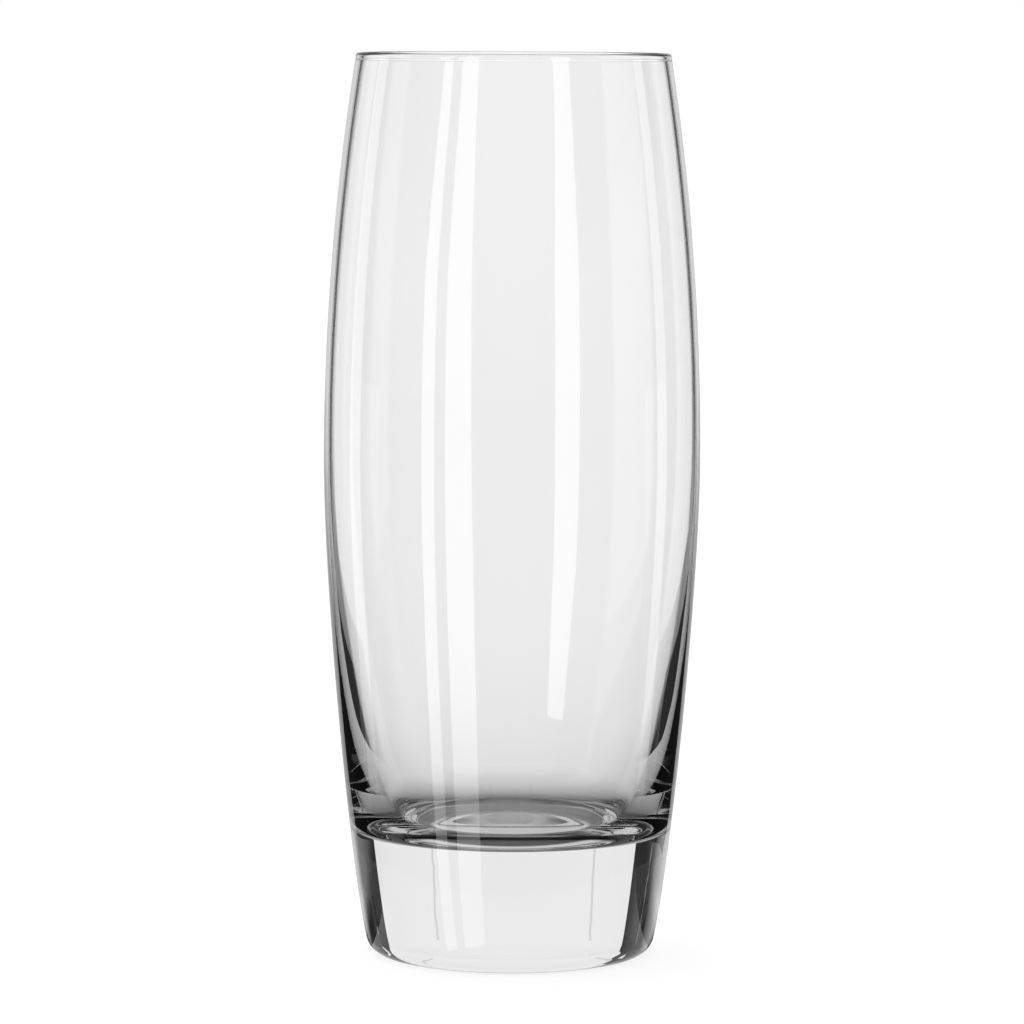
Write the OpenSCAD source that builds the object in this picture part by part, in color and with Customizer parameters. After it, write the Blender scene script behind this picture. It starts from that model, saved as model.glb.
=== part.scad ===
// A barrel-shaped highball glass, one piece of clear glass with a heavy solid base.
// It stands on the ring under its heel, at height 0, and its axis is the Z axis.

/* [Overall] */
// Height of the glass, from the ring it stands on to the top of the rim
glass_h = 156; // [145:1:175]

/* [Outside] */
// Outside diameter at the widest place of the barrel
belly_d = 65; // [62:0.5:75]
// Height of the widest place
belly_z = 86.3; // [80:0.1:95]
// Outside diameter of the wall at the rim
rim_d = 54.2; // [50:0.1:60]
// Outside diameter of the foot, just above the rounded heel
foot_d = 50; // [48:0.5:56]
// Lean of the foot's side from upright, in degrees
foot_lean = 12; // [8:1:16]
// Radius of the heel, between the side and the underside
heel_r = 3.7; // [2:0.1:5]

/* [Wall] */
// Thickness of the wall, measured level, above the height where it stops thinning
wall_t = 1.2; // [0.9:0.1:1.6]
// Height at which the wall, which thins upwards from the base, comes to that thickness
thin_z = 101; // [90:0.5:115]
// Thickness of the rounded bead that fire polishing leaves along the rim
bead_d = 1.5; // [1.3:0.1:2.2]
// How far the bead stands out past the outside of the wall
bead_proud = 0.1; // [0.05:0.05:0.2]

/* [Bowl] */
// Height of the bowl's floor, which is the thickness of the solid base
floor_z = 21; // [18:0.5:28]
// Diameter of the level floor inside the rounded corner
floor_d = 29.5; // [26:0.5:36]
// Radius of the corner between the floor and the wall
corner_r = 8; // [4:0.5:9]
// Lean of the bowl's wall from upright where it leaves that corner, in degrees
bowl_lean = 21; // [14:1:24]

/* [Underside] */
// Diameter of the shallow hollow inside the ring that the glass stands on
punt_d = 36; // [30:1:39]
// Height of that hollow at its middle
punt_h = 1.4; // [0.8:0.1:2.5]

/* [Hidden] */

// Reach of the outside's curve at the belly and at the foot, as shares of its height
belly_pull_share = 0.275;
foot_pull_share = 0.173;
// Reach of the thinning curve where it meets the even wall, as a share of its height
thin_pull_share = 0.286;
// Steps along a long curve and along a short one
long_steps = 24;
short_steps = 10;

belly_r = belly_d / 2;
rim_r = rim_d / 2;
foot_r = foot_d / 2;
floor_r = floor_d / 2;
punt_r = punt_d / 2;
bead_r = bead_d / 2;
bead_z = glass_h - bead_r;
bead_x = rim_r + bead_proud - bead_r;
heel_top_z = heel_r * (1 - sin(foot_lean));
heel_x = foot_r - heel_r * cos(foot_lean);
// The hollow under the base is a cap of this ball
ball_r = (pow(punt_r, 2) + pow(punt_h, 2)) / (2 * punt_h);
ball_angle = asin(punt_r / ball_r);

// Points of an arc, from one angle to another
function arc(centre, radius, from, to, steps) =
    [for (i = [0 : steps]) centre + radius * [cos(from + (to - from) * i / steps),
                                              sin(from + (to - from) * i / steps)]];

// Points of the curve from a to d that leaves a towards b and comes to d from c
function curve(a, b, c, d, steps) =
    [for (i = [0 : steps]) let (t = i / steps, u = 1 - t)
        u * u * u * a + 3 * u * u * t * b + 3 * u * t * t * c + t * t * t * d];

// Outside of the glass below the belly, from the top of the heel upwards
function lower_side() =
    let (heel_top = [foot_r, heel_top_z], belly = [belly_r, belly_z],
         side_h = belly_z - heel_top_z)
    curve(heel_top, heel_top + side_h * foot_pull_share * [sin(foot_lean), cos(foot_lean)],
          belly - [0, side_h * belly_pull_share], belly, long_steps);

// Outside of the glass above the belly: an even bow that draws in to the rim
function upper_side() =
    [for (i = [1 : long_steps]) let (share = i / long_steps)
        [belly_r + (rim_r - belly_r) * pow(share, 2), belly_z + (bead_z - belly_z) * share]];

side = concat(lower_side(), upper_side());

// Outside radius of the glass at a height
function side_x(height) = lookup(height, [for (place = side) [place[1], place[0]]]);

// The corner of the bowl is as round as the glass beside it has room for
bowl_corner_r = min(corner_r, side_x(floor_z) - wall_t - floor_r);
corner_centre = [floor_r, floor_z + bowl_corner_r];
corner_top = corner_centre + bowl_corner_r * [cos(bowl_lean), -sin(bowl_lean)];

// The wall's thickness against its height: it leaves the corner's top at the bowl's lean,
// sweeps towards the even wall and stays at least that thick
function thinning() =
    let (foot_t = side_x(corner_top[1]) - corner_top[0],
         side_slope = (side_x(corner_top[1] + corner_r) - side_x(corner_top[1])) / corner_r,
         slope = tan(bowl_lean) - side_slope,
         thin_h = thin_z - corner_top[1],
         reach = 1 / (1 / thin_h + slope / (foot_t - wall_t)))
    curve([foot_t, corner_top[1]], [foot_t - reach * slope, corner_top[1] + reach],
          [wall_t, thin_z - thin_h * thin_pull_share], [wall_t, thin_z], long_steps);

// Inside of the bowl: its floor's corner, then the outside less the wall's thickness
function bowl_side() =
    concat(arc(corner_centre, bowl_corner_r, -90, -bowl_lean, short_steps),
           [for (place = thinning()) [side_x(place[1]) - place[0], place[1]]],
           [for (place = side) if (place[1] > thin_z) place - [wall_t, 0]]);

// Half section of the whole outer form, filled solid
module outer_section() {
    polygon(concat([[0, 0]], arc([heel_x, heel_r], heel_r, -90, -foot_lean, short_steps),
                   side, [[0, bead_z]]));
}

// Half section of the bowl, which runs out through the rim
module bowl_section() {
    polygon(concat([[0, floor_z]], bowl_side(), [[rim_r - wall_t, glass_h], [0, glass_h]]));
}

// Half section of the shallow hollow under the base
module punt_section() {
    polygon(concat([[0, -punt_h], [punt_r, -punt_h]],
                   arc([0, punt_h - ball_r], ball_r, 90 - ball_angle, 90, short_steps)));
}

// Half section of the rounded bead along the rim
module bead_section() {
    translate([bead_x, bead_z]) circle(d = bead_d);
}

module glass() {
    color("azure", 0.4)
    rotate_extrude($fn = 144) {
        difference() {
            outer_section();
            bowl_section();
            punt_section();
        }
        bead_section();
    }
}

glass();
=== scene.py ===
# A clear barrel-shaped highball glass, photographed on white with strip lights.
import bisect
import math

import bmesh
import bpy
from mathutils import Matrix, Vector


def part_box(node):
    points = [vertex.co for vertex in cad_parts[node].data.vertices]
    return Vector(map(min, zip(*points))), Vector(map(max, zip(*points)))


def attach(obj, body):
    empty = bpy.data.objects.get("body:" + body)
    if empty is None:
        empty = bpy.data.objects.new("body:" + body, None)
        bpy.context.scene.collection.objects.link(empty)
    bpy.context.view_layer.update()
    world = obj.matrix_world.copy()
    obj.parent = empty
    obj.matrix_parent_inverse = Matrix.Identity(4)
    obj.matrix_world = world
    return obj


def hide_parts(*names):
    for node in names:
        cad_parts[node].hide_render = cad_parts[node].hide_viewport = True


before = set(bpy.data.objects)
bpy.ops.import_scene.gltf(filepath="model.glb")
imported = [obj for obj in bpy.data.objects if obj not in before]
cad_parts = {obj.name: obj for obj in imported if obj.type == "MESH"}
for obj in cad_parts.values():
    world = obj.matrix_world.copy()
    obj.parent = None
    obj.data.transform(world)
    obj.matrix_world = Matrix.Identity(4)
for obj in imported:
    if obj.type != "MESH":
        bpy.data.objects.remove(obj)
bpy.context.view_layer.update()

# The glass: one piece of clear soda-lime glass with a heavy solid base, formed in a mould,
# cracked off and fire polished, which leaves the rounded bead along the rim.
# All its surfaces belong to one closed skin, so it is spun from a single outline.
MM = 0.001
glass_low, glass_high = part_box("glass")
glass_h = glass_high.z - glass_low.z
belly_r = (glass_high.x - glass_low.x) / 2
belly_z = 86.3 * MM
rim_r = 27.1 * MM
foot_r = 25.0 * MM
foot_lean = math.radians(12)
heel_r = 3.7 * MM
wall_t = 1.2 * MM
thin_z = 101 * MM
bead_r = 0.62 * MM
bead_proud = 0.03 * MM
neck_h = 1.2 * MM
floor_z = 21 * MM
floor_r = 14.75 * MM
corner_r = 8 * MM
bowl_lean = math.radians(21)
punt_r = 18 * MM
punt_h = 1.4 * MM
belly_pull_share = 0.275
foot_pull_share = 0.173
thin_pull_share = 0.286
lower_steps = 60
upper_steps = 36
thinning_steps = 64
corner_steps = 20
neck_steps = 6
round_steps = 16
punt_steps = 12
floor_steps = 8
turn_steps = 320
merge_gap = 0.001 * MM


def point(x, z):
    """A place on the outline, from its distance to the glass's axis and its height."""
    return Vector((x, 0, z))


def arc(centre, radius, start, end, steps):
    """Points along an arc of the outline, from one angle to another, in degrees."""
    turns = [math.radians(start + (end - start) * i / steps) for i in range(steps + 1)]
    return [centre + radius * point(math.cos(t), math.sin(t)) for t in turns]


def curve(a, b, c, d, steps):
    """Points from a to d along a curve that leaves a towards b and comes to d from c."""
    shares = [i / steps for i in range(steps + 1)]
    return [(1 - t) ** 3 * a + 3 * (1 - t) ** 2 * t * b + 3 * (1 - t) * t * t * c + t ** 3 * d
            for t in shares]


def leaning(start, lean, distance):
    """The place at a distance along a line that leans out from upright."""
    return start + distance * point(math.sin(lean), math.cos(lean))


bead_centre = point(rim_r + bead_proud - bead_r, glass_h - bead_r)
neck_z = bead_centre.z - neck_h
belly = point(belly_r, belly_z)
heel_top = point(foot_r, heel_r * (1 - math.sin(foot_lean)))
heel_centre = point(foot_r - heel_r * math.cos(foot_lean), heel_r)
side_h = belly.z - heel_top.z
lower_side = curve(heel_top, leaning(heel_top, foot_lean, side_h * foot_pull_share),
                   belly - point(0, side_h * belly_pull_share), belly, lower_steps)
bow_h = bead_centre.z - belly_z
rises = [(neck_z - belly_z) * i / upper_steps for i in range(1, upper_steps + 1)]
upper_side = [point(belly_r + (rim_r - belly_r) * (rise / bow_h) ** 2, belly_z + rise)
              for rise in rises]
side = lower_side + upper_side


def side_x(height):
    """Outside radius of the glass at a height, read between the points of its outline."""
    above = bisect.bisect_right([place.z for place in side], height, 1, len(side) - 1)
    low, high = side[above - 1], side[above]
    return low.x + (high.x - low.x) * (height - low.z) / (high.z - low.z)


# Inside, the wall is the outside less a thickness that thins in one sweep up to thin_z.
corner_centre = point(floor_r, floor_z + corner_r)
corner_top = corner_centre + corner_r * point(math.cos(bowl_lean), -math.sin(bowl_lean))
foot_t = side_x(corner_top.z) - corner_top.x
side_slope = (side_x(corner_top.z + corner_r) - side_x(corner_top.z)) / corner_r
thin_slope = math.tan(bowl_lean) - side_slope
thin_h = thin_z - corner_top.z
thin_reach = 1 / (1 / thin_h + thin_slope / (foot_t - wall_t))
sweep_low = point(foot_t - thin_reach * thin_slope, corner_top.z + thin_reach)
sweep_high = point(wall_t, thin_z - thin_h * thin_pull_share)
thinning = curve(point(foot_t, corner_top.z), sweep_low, sweep_high, point(wall_t, thin_z),
                 thinning_steps)
bowl = (arc(corner_centre, corner_r, -90, -math.degrees(bowl_lean), corner_steps)[:-1]
        + [point(side_x(place.z) - place.x, place.z) for place in thinning]
        + [place - point(wall_t, 0) for place in side if place.z > thin_z])

# The bead swells out of the wall through a soft neck on both sides.
bead_outer = bead_centre + point(bead_r, 0)
bead_inner = bead_centre - point(bead_r, 0)
neck_pull = neck_h / 2
neck_out = side[-1]
neck_in = bowl[-1]
neck_lean = math.atan2(neck_out.x - side[-2].x, neck_out.z - side[-2].z)
outer_neck = curve(neck_out, leaning(neck_out, neck_lean, neck_pull),
                   bead_outer - point(0, neck_pull), bead_outer, neck_steps)
inner_neck = curve(bead_inner, bead_inner - point(0, neck_pull),
                   leaning(neck_in, neck_lean, neck_pull), neck_in, neck_steps)
bead_round = arc(bead_centre, bead_r, 0, 180, round_steps)
bead = outer_neck[1:] + bead_round[1:] + inner_neck[1:-1]

# The hollow under the base is a shallow cap of a large ball, and the heel is rounded.
ball_r = (punt_r ** 2 + punt_h ** 2) / (2 * punt_h)
ball_angle = math.degrees(math.asin(punt_r / ball_r))
punt = arc(point(0, punt_h - ball_r), ball_r, 90, 90 - ball_angle, punt_steps)
heel = arc(heel_centre, heel_r, -90, -math.degrees(foot_lean), round_steps)[:-1]
floor = [point(floor_r * i / floor_steps, floor_z) for i in range(floor_steps)]
outline = punt + heel + side + bead + bowl[::-1] + floor[::-1]

shape = bmesh.new()
section = [shape.verts.new(place) for place in outline]
edges = [shape.edges.new(pair) for pair in zip(section, section[1:])]
bmesh.ops.spin(shape, geom=section + edges, axis=(0, 0, 1), cent=(0, 0, 0),
               angle=math.tau, steps=turn_steps, use_merge=True)
bmesh.ops.remove_doubles(shape, verts=shape.verts, dist=merge_gap)
bmesh.ops.recalc_face_normals(shape, faces=shape.faces)
for face in shape.faces:
    face.smooth = True

# The mould leaves two hair-thin raised lines up the back of the foot, one on each side of
# its middle, which the solid base magnifies. Each line wanders a little on its way up.
seam_turns = (math.radians(98.9), math.radians(80.5))
seam_half_w = 0.05 * MM
seam_h = 0.008 * MM
seam_low = 1.5 * MM
seam_high = 19.5 * MM
seam_wander = 0.018 * MM
long_wave = 1.1 * MM
short_wave = 0.43 * MM
cut_gap = 0.0001 * MM
seams = []
for seam_turn in seam_turns:
    outwards = Vector((math.cos(seam_turn), math.sin(seam_turn), 0))
    across = Vector((-outwards.y, outwards.x, 0))
    seams.append((outwards, across))
    for cut in (-seam_half_w, 0, seam_half_w):
        bmesh.ops.bisect_plane(shape, geom=shape.verts[:] + shape.edges[:] + shape.faces[:],
                               dist=cut_gap, plane_co=across * cut, plane_no=across)
    for vert in shape.verts:
        on_side = vert.co.dot(outwards) > punt_r and seam_low < vert.co.z < seam_high
        if on_side and abs(vert.co.dot(across)) < seam_half_w / 2:
            wave = math.sin(vert.co.z / long_wave) + math.sin(vert.co.z / short_wave) / 2
            vert.co += outwards * seam_h + across * seam_wander * wave
mesh = bpy.data.meshes.new("highball_glass")
shape.to_mesh(mesh)
shape.free()
glass = bpy.data.objects.new("highball_glass", mesh)
scene = bpy.context.scene
scene.collection.objects.link(glass)


def linear(hex_colour):
    """A colour written as sRGB hex, as the linear values that a shader takes."""
    shares = [int(hex_colour[i:i + 2], 16) / 255 for i in (1, 3, 5)]
    return [s / 12.92 if s <= 0.04045 else ((s + 0.055) / 1.055) ** 2.4 for s in shares] + [1]


def add(tree, kind, settings=None, links=None):
    """Adds a node with its settings and with links from other nodes' outputs."""
    node = tree.nodes.new(kind)
    for name, value in (settings or {}).items():
        if isinstance(name, int) or name in node.inputs:
            node.inputs[name].default_value = value
        else:
            setattr(node, name, value)
    for name, output in (links or {}).items():
        tree.links.new(output, node.inputs[name])
    return node


# Clear soda-lime glass: a fire-polished skin that bends and mirrors the studio, and a body
# that takes a little light over a long way, so the thick base looks faintly grey. The mould
# lines are too low to show by themselves, so the dark line that their bending of light
# would draw is painted along them as painted shade, a grey tint of the skin.
white = linear("#FFFFFF")
painted_seam_grey = linear("#CCCCCC")
body_grey = linear("#F3F3F3")
body_density = 22.0
glass_ior = 1.52
skin_wave = 6 * MM
skin_wave_h = 0.004 * MM
line_wave = 3 * MM
line_wander = 0.08 * MM
line_core = 0.02 * MM
line_edge = 0.07 * MM
line_middle_z = (heel_r + seam_high) / 2
line_half_h = (seam_high - heel_r) / 2
clear_glass = bpy.data.materials.new("clear_soda_lime_glass")
clear_glass.use_nodes = True
tree = clear_glass.node_tree
tree.nodes.clear()
coords = add(tree, "ShaderNodeTexCoord").outputs["Object"]
ripples = add(tree, "ShaderNodeTexNoise", {"Scale": 1 / skin_wave, "Detail": 1.0},
              {"Vector": coords})
skin_bump = add(tree, "ShaderNodeBump", {"Strength": 1.0, "Distance": skin_wave_h},
                {"Height": ripples.outputs["Fac"]})
wander = add(tree, "ShaderNodeTexNoise", {"Scale": 1 / line_wave, "Detail": 2.0},
             {"Vector": coords})
lines = []
for outwards, across in seams:
    off = add(tree, "ShaderNodeVectorMath", {"operation": "DOT_PRODUCT", 1: across}, {0: coords})
    bent = add(tree, "ShaderNodeMath", {"operation": "MULTIPLY_ADD", 1: 2 * line_wander},
               {0: wander.outputs["Fac"], 2: off.outputs["Value"]})
    centred = add(tree, "ShaderNodeMath", {"operation": "SUBTRACT", 1: line_wander},
                  {0: bent.outputs[0]})
    distance = add(tree, "ShaderNodeMath", {"operation": "ABSOLUTE"}, {0: centred.outputs[0]})
    line = add(tree, "ShaderNodeMapRange", {"From Min": line_core, "From Max": line_edge,
                                            "To Min": 1.0, "To Max": 0.0},
               {"Value": distance.outputs[0]})
    reach = add(tree, "ShaderNodeVectorMath", {"operation": "DOT_PRODUCT", 1: outwards},
                {0: coords})
    outside = add(tree, "ShaderNodeMath", {"operation": "GREATER_THAN", 1: punt_r},
                  {0: reach.outputs["Value"]})
    outer_line = add(tree, "ShaderNodeMath", {"operation": "MULTIPLY"},
                     {0: line.outputs[0], 1: outside.outputs[0]})
    lines.append(outer_line.outputs[0])
either_line = add(tree, "ShaderNodeMath", {"operation": "MAXIMUM"}, dict(enumerate(lines)))
height = add(tree, "ShaderNodeSeparateXYZ", links={"Vector": coords}).outputs["Z"]
in_foot = add(tree, "ShaderNodeMath", {"operation": "COMPARE", 1: line_middle_z, 2: line_half_h},
              {0: height})
painted_seam_share = add(tree, "ShaderNodeMath", {"operation": "MULTIPLY"},
                 {0: either_line.outputs[0], 1: in_foot.outputs[0]})
# Painted shade: the skin's colour turns grey along the mould lines, in place of the dark line that
# their bending of light draws.
seam_shade_tint = add(tree, "ShaderNodeMix", {"data_type": "RGBA", 6: white, 7: painted_seam_grey},
           {0: painted_seam_share.outputs[0]})
skin = add(tree, "ShaderNodeBsdfPrincipled",
           {"Roughness": 0.0, "IOR": glass_ior, "Transmission Weight": 1.0},
           {"Base Color": seam_shade_tint.outputs[2], "Normal": skin_bump.outputs["Normal"]})
body = add(tree, "ShaderNodeVolumeAbsorption", {"Color": body_grey, "Density": body_density})
add(tree, "ShaderNodeOutputMaterial",
    links={"Surface": skin.outputs["BSDF"], "Volume": body.outputs["Volume"]})
glass.data.materials.append(clear_glass)
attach(glass, "root")
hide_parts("glass")


# The studio round the glass is built of flat cards that glow. Each is shown to some kinds
# of ray only, so that what draws the glass's lines doesn't show in the white background.
def card(name, corners, strength, shown_to):
    """A flat card of the studio, evenly lit, seen only by the kinds of ray that are named."""
    built = bmesh.new()
    built.faces.new([built.verts.new(corner) for corner in corners])
    data = bpy.data.meshes.new(name)
    built.to_mesh(data)
    built.free()
    made = bpy.data.objects.new(name, data)
    scene.collection.objects.link(made)
    paint = bpy.data.materials.new(name)
    paint.use_nodes = True
    paint.node_tree.nodes.clear()
    glow = add(paint.node_tree, "ShaderNodeEmission", {"Color": white, "Strength": strength})
    add(paint.node_tree, "ShaderNodeOutputMaterial", links={"Surface": glow.outputs["Emission"]})
    data.materials.append(paint)
    for ray in ("camera", "diffuse", "glossy", "transmission", "volume_scatter", "shadow"):
        setattr(made, "visible_" + ray, ray in shown_to)
    return made


# Two black flags stand close at the sides, behind the glass, and draw its dark edges.
# Each is cut away low down and, but for a grey wing high up, towards the front.
flag_light = 0.03
wing_light = 0.8
flag_top = 400
wing_back = 45
left_cut = [(wing_back, 56), (0, 45)]
right_cut = [(wing_back, 63), (0, 45)]
left_line = (-52, -0.378)
right_line = (52.7, 0.255)
left_fade = (0.12, 0.42, 1.0)
right_fade = (0.09, 0.20, 0.0)


def flag(name, line, strength, fade, edge):
    """An upright flag, from the distances behind the glass and the heights of its edge.

    All are in millimetres. The line says how far right the flag stands level with the
    glass's middle, and how much further for each millimetre behind. The flag is clear where
    light meets it head-on, and closes between the fade's first two values as light meets it
    more edge-on. The last value is how far it also closes to light caught in the glass.
    """
    beside, spread = line
    fade_start, fade_end, caught_fade = fade
    made = card(name, [Vector((beside + spread * y, y, z)) * MM for y, z in edge], strength,
                ("glossy", "transmission"))
    tree = made.data.materials[0].node_tree
    turned = add(tree, "ShaderNodeLayerWeight", {"Blend": 0.5}).outputs["Facing"]
    closed = add(tree, "ShaderNodeMapRange", {"From Min": fade_start, "From Max": fade_end},
                 {"Value": turned})
    turns = add(tree, "ShaderNodeLightPath").outputs["Glossy Depth"]
    caught = add(tree, "ShaderNodeMapRange", {"To Max": caught_fade}, {"Value": turns})
    either = add(tree, "ShaderNodeMath", {"operation": "MAXIMUM"},
                 {0: closed.outputs[0], 1: caught.outputs[0]})
    clear = add(tree, "ShaderNodeBsdfTransparent")
    both = add(tree, "ShaderNodeMixShader", links={
        0: either.outputs[0], 1: clear.outputs[0], 2: tree.nodes["Emission"].outputs[0]})
    tree.links.new(both.outputs[0], tree.nodes["Material Output"].inputs["Surface"])


flag("left_flag", left_line, flag_light, left_fade,
     [(0, 13), (30, 8), (75, 0), (172, 0), (172, flag_top), (wing_back, flag_top)] + left_cut)
flag("right_flag", right_line, flag_light, right_fade,
     [(0, 13), (30, 8), (62, 0), (104, 0), (104, flag_top), (wing_back, flag_top)] + right_cut)
flag("left_wing", left_line, wing_light, left_fade,
     left_cut[::-1] + [(wing_back, flag_top), (0, flag_top)])
flag("right_wing", right_line, wing_light, right_fade,
     right_cut[::-1] + [(wing_back, flag_top), (0, flag_top)])

# Three strip lights stand in front, and two faint ones at the sides. They draw the tall
# bright lines on the wall, so each one's edges are set by where its line begins and ends.
front_distance = 600
side_distance = 130
front_light = {-250: 1.5, -120: 3.0}
even_light = {-120: 3.0, 0: 3.0}
faint_light = {0: 0.8, 60: 2.0}


def strip(name, distance, strengths, edges):
    """A tall strip light: at each height in millimetres, the bearings of its two edges in degrees.

    Its strength changes between two heights, which are given with the strengths there.
    """
    places = [[Vector((math.sin(t) * distance, -math.cos(t) * distance, height)) * MM
               for t in map(math.radians, bearings)] for height, bearings in edges.items()]
    left_edge = [left for left, right in places]
    right_edge = [right for left, right in places]
    made = card(name, left_edge + right_edge[::-1], 1.0, ("glossy",))
    (low_z, low_light), (high_z, high_light) = strengths.items()
    tree = made.data.materials[0].node_tree
    coords = add(tree, "ShaderNodeTexCoord").outputs["Object"]
    z = add(tree, "ShaderNodeSeparateXYZ", links={"Vector": coords}).outputs["Z"]
    light = add(tree, "ShaderNodeMapRange", {"From Min": low_z * MM, "From Max": high_z * MM,
                                             "To Min": low_light, "To Max": high_light},
                {"Value": z})
    tree.links.new(light.outputs[0], tree.nodes["Emission"].inputs["Strength"])


strip("narrow_strip", front_distance, front_light,
      {-325: (-53, -43.5), -100: (-55.2, -47), 170: (-55.2, -47),
       290: (-50.8, -43.8), 600: (-50.8, -43.8)})
strip("wide_strip", front_distance, front_light,
      {-325: (-36.5, -20), -100: (-39.7, -22.6), 170: (-40.3, -25),
       290: (-37, -25), 600: (-37, -25)})
strip("right_strip", front_distance, even_light,
      {-131: (23.5, 34), -40: (25.2, 39.5), 170: (25.6, 41),
       290: (28, 40), 600: (28, 40)})
strip("far_left_strip", side_distance, faint_light, {0: (-105, -94.5), 300: (-105, -94.5)})
strip("far_right_strip", side_distance, faint_light, {0: (88.7, 97.3), 300: (88.7, 97.3)})

# The floor is a plain white table top, in one copy for the camera and two that the glass
# sees. Those two lie a hair below its foot, clear of the ring that it stands on.
table_half = 3.0
glass_table_depth = 0.05 * MM
mirror_table_depth = 0.04 * MM


def table(name, front, depth, shown_to):
    """A square of the table's top, from a distance behind the glass, at a depth below its foot."""
    corners = ((-table_half, front), (table_half, front),
               (table_half, table_half), (-table_half, table_half))
    return card(name, [Vector((x, y, -depth)) for x, y in corners], 1.0, shown_to)


camera_table = table("table_top", -table_half, 0, ("camera", "diffuse"))
glass_table = table("table_seen_through_glass", -table_half, glass_table_depth, ("transmission",))
mirror_table = table("table_seen_in_glass", 0, mirror_table_depth, ("glossy",))

# Seen through the glass, the table's glow is painted darker towards the foot, as painted
# shade where the glass keeps its own light off, and painted dark under the front of the base.
# Light caught in the glass finds it painted dark in front and grey behind.
near_r = 32 * MM
near_dark_share = 0.75
near_power = 1.5
least_light = 0.12
caught_light = 0.66
caught_front_light = 0.05
caught_back_y = 18 * MM
under_dark = 0.1
under_light = 0.68
under_dark_y = -8 * MM
under_light_y = -4 * MM
ring_w = 2 * MM
tree = glass_table.data.materials[0].node_tree
coords = add(tree, "ShaderNodeTexCoord").outputs["Object"]
table_y = add(tree, "ShaderNodeSeparateXYZ", links={"Vector": coords}).outputs["Y"]
reach = add(tree, "ShaderNodeVectorMath", {"operation": "LENGTH"}, {0: coords}).outputs["Value"]
nearness = add(tree, "ShaderNodeMath", {"operation": "DIVIDE", 0: near_r}, {1: reach})
fall = add(tree, "ShaderNodeMath", {"operation": "POWER", 1: near_power},
           {0: nearness.outputs[0]})
far_light = add(tree, "ShaderNodeMath",
                {"operation": "MULTIPLY_ADD", 1: -near_dark_share, 2: 1.0}, {0: fall.outputs[0]})
floor_light = add(tree, "ShaderNodeMath", {"operation": "MAXIMUM", 1: least_light},
                  {0: far_light.outputs[0]})
caught_back = add(tree, "ShaderNodeMapRange", {"From Max": caught_back_y,
                                               "To Min": caught_front_light,
                                               "To Max": caught_light}, {"Value": table_y})
turns = add(tree, "ShaderNodeLightPath").outputs["Glossy Depth"]
caught = add(tree, "ShaderNodeMix", {"data_type": "FLOAT", 2: 1.0},
             {0: turns, 3: caught_back.outputs[0]})
outer = add(tree, "ShaderNodeMath", {"operation": "MULTIPLY"},
            {0: floor_light.outputs[0], 1: caught.outputs[0]})
inner = add(tree, "ShaderNodeMapRange", {"From Min": under_dark_y, "From Max": under_light_y,
                                         "To Min": under_dark, "To Max": under_light},
            {"Value": table_y})
ring = add(tree, "ShaderNodeMapRange", {"From Min": punt_r, "From Max": punt_r + ring_w},
           {"Value": reach})
table_light = add(tree, "ShaderNodeMix", {"data_type": "FLOAT"},
                  {0: ring.outputs[0], 2: inner.outputs[0], 3: outer.outputs[0]})
tree.links.new(table_light.outputs[0], tree.nodes["Emission"].inputs["Strength"])

# Mirrored in the glass's side, the table's glow is painted dark close behind the foot and at
# the sides, as painted shade.
mirror_near_y = 6 * MM
mirror_far_y = 34 * MM
mirror_near_light = 0.18
sideways_y = 0.2
straight_y = 0.5
tree = mirror_table.data.materials[0].node_tree
coords = add(tree, "ShaderNodeTexCoord").outputs["Object"]
table_y = add(tree, "ShaderNodeSeparateXYZ", links={"Vector": coords}).outputs["Y"]
away = add(tree, "ShaderNodeMapRange", {"From Min": mirror_near_y, "From Max": mirror_far_y,
                                        "To Min": mirror_near_light}, {"Value": table_y})
along = add(tree, "ShaderNodeVectorMath", {"operation": "NORMALIZE"}, {0: coords})
along_y = add(tree, "ShaderNodeSeparateXYZ", links={"Vector": along.outputs["Vector"]}).outputs["Y"]
straight = add(tree, "ShaderNodeMapRange", {"From Min": sideways_y, "From Max": straight_y,
                                            "To Max": caught_light,
                                            "interpolation_type": "SMOOTHSTEP"},
               {"Value": along_y})
table_light = add(tree, "ShaderNodeMath", {"operation": "MULTIPLY"},
                  {0: away.outputs[0], 1: straight.outputs[0]})
tree.links.new(table_light.outputs[0], tree.nodes["Emission"].inputs["Strength"])

# To the camera the table is white but for the soft shadow that the glass leaves on it.
matte_share = 0.15
tree = camera_table.data.materials[0].node_tree
matte = add(tree, "ShaderNodeBsdfDiffuse", {"Color": linear("#F4F4F4")})
top = add(tree, "ShaderNodeMixShader", {0: matte_share},
          {1: tree.nodes["Emission"].outputs[0], 2: matte.outputs[0]})
tree.links.new(top.outputs[0], tree.nodes["Material Output"].inputs["Surface"])

# The studio's light by direction. To the camera, and to light that comes straight through
# the glass, all of it is white. Light that the glass mirrors or catches finds a grey backdrop
# behind and a dim room in front that brightens upwards, and both are darker at the sides.
side_start = 0.4
side_end = 0.65
side_light = 0.2
lift_start = 0.08
lift_end = 0.16
world = bpy.data.worlds.new("studio")
scene.world = world
world.use_nodes = True
tree = world.node_tree
tree.nodes.clear()
way = add(tree, "ShaderNodeTexCoord").outputs["Generated"]
parts = add(tree, "ShaderNodeSeparateXYZ", links={"Vector": way})
rise = add(tree, "ShaderNodeMapRange", {"From Min": -1.0}, {"Value": parts.outputs["Z"]})


def levels(stops):
    """Light against height, from pairs of the direction's sine above level and the strength."""
    ramp = add(tree, "ShaderNodeValToRGB", links={"Fac": rise.outputs[0]})
    elements = ramp.color_ramp.elements
    elements.remove(elements[1])
    for sine, level in stops.items():
        stop = elements.new((sine + 1) / 2)
        stop.color = (level, level, level, 1)
    elements.remove(elements[0])
    return ramp.outputs["Color"]


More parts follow.
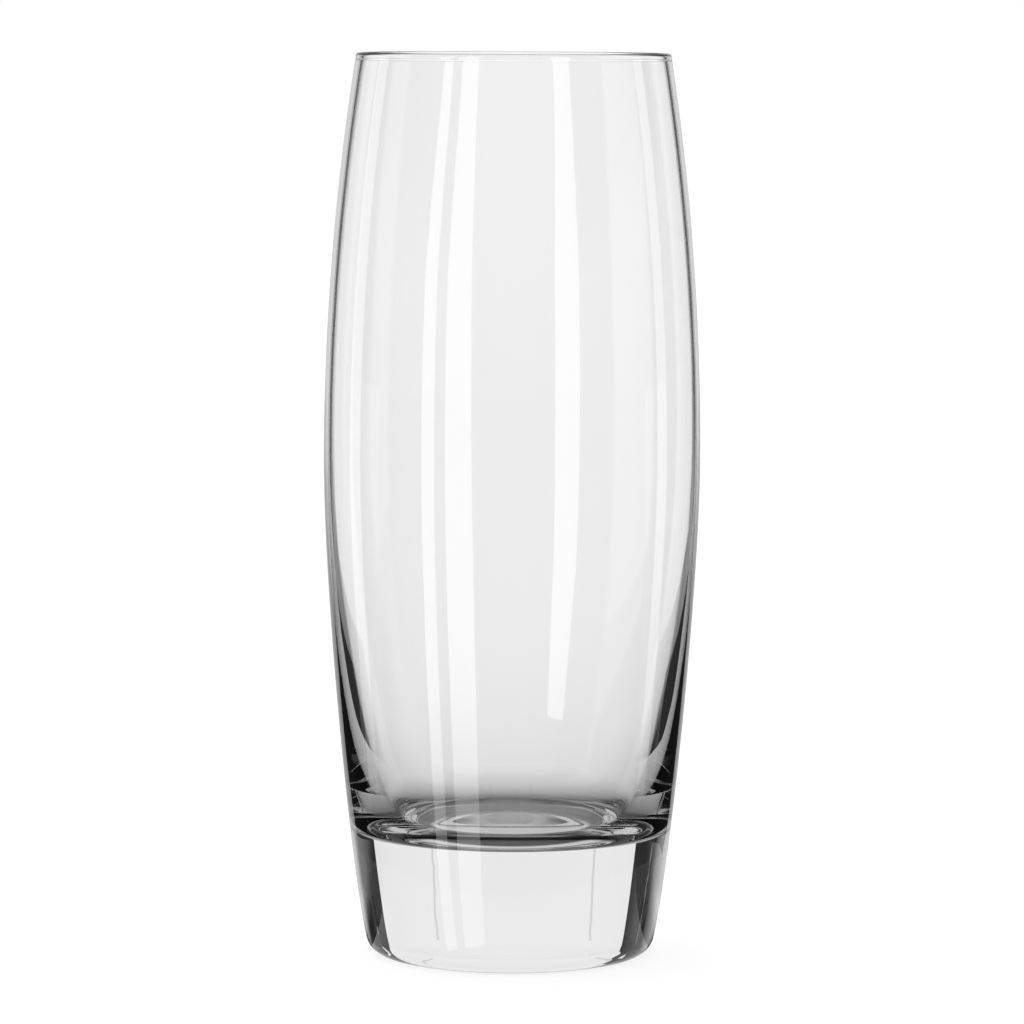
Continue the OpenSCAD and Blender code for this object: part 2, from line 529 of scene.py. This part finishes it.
room = levels({-0.42: 0.0, -0.09: 0.05, 0.12: 0.35, 0.5: 0.4, 0.9: 0.42, 1.0: 0.75})
backdrop = levels({0.08: caught_light, 0.25: 0.4, 0.5: 0.2, 1.0: 0.16})
behind = add(tree, "ShaderNodeMapRange", {"From Min": sideways_y, "From Max": straight_y,
                                          "interpolation_type": "SMOOTHSTEP"},
             {"Value": parts.outputs["Y"]})
around = add(tree, "ShaderNodeMix", {"data_type": "FLOAT"},
             {0: behind.outputs[0], 2: room, 3: backdrop})
sideways = add(tree, "ShaderNodeMath", {"operation": "ABSOLUTE"}, {0: parts.outputs["X"]})
aside = add(tree, "ShaderNodeMapRange", {"From Min": side_start, "From Max": side_end,
                                         "To Min": 1.0, "To Max": side_light},
            {"Value": sideways.outputs[0]})
lift = add(tree, "ShaderNodeMapRange", {"From Min": lift_start, "From Max": lift_end},
           {"Value": parts.outputs["Z"]})
dim = add(tree, "ShaderNodeMix", {"data_type": "FLOAT", 2: 1.0},
          {0: lift.outputs[0], 3: aside.outputs[0]})
lit = add(tree, "ShaderNodeMath", {"operation": "MULTIPLY"},
          {0: around.outputs[0], 1: dim.outputs[0]})
turns = add(tree, "ShaderNodeLightPath").outputs["Glossy Depth"]
seen = add(tree, "ShaderNodeMix", {"data_type": "FLOAT", 2: 1.0}, {0: turns, 3: lit.outputs[0]})
sky = add(tree, "ShaderNodeBackground", {"Color": white}, {"Strength": seen.outputs[0]})
add(tree, "ShaderNodeOutputWorld", links={"Surface": sky.outputs["Background"]})

# A wide soft lamp overhead lays the shadow on the table. It is hidden from the light that
# the glass mirrors or lets through.
lamp_data = bpy.data.lights.new("overhead", "SUN")
lamp_data.angle = math.radians(60)
lamp_data.energy = 2.0
lamp = bpy.data.objects.new("overhead", lamp_data)
scene.collection.objects.link(lamp)
lamp.visible_glossy = False
lamp.visible_transmission = False
lamp.rotation_euler = (math.radians(-8), math.radians(-12), 0)

# Light that is caught in the thick wall turns there many times before it leaves. Past nine
# turns it is taken as lost, as grime and scratches take it from a real glass.
scene.cycles.max_bounces = 40
scene.cycles.transmission_bounces = 40
scene.cycles.glossy_bounces = 9

# The camera stands 0.95 m in front of the glass, a little above its rim, and looks slightly
# down at it.
camera_data = bpy.data.cameras.new("camera")
camera_data.sensor_width = 36
camera_data.lens = 193.7
camera = bpy.data.objects.new("camera", camera_data)
scene.collection.objects.link(camera)
camera_place = Vector((0.04 * MM, -948.6 * MM, 164.3 * MM))
camera_pitch = math.radians(5.266)
camera_roll = math.radians(0.2514)
camera.matrix_world = (Matrix.Translation(camera_place)
                       @ Matrix.Rotation(math.pi / 2 - camera_pitch, 4, "X")
                       @ Matrix.Rotation(camera_roll, 4, "Z"))
scene.camera = camera
scene.view_settings.view_transform = "Standard"
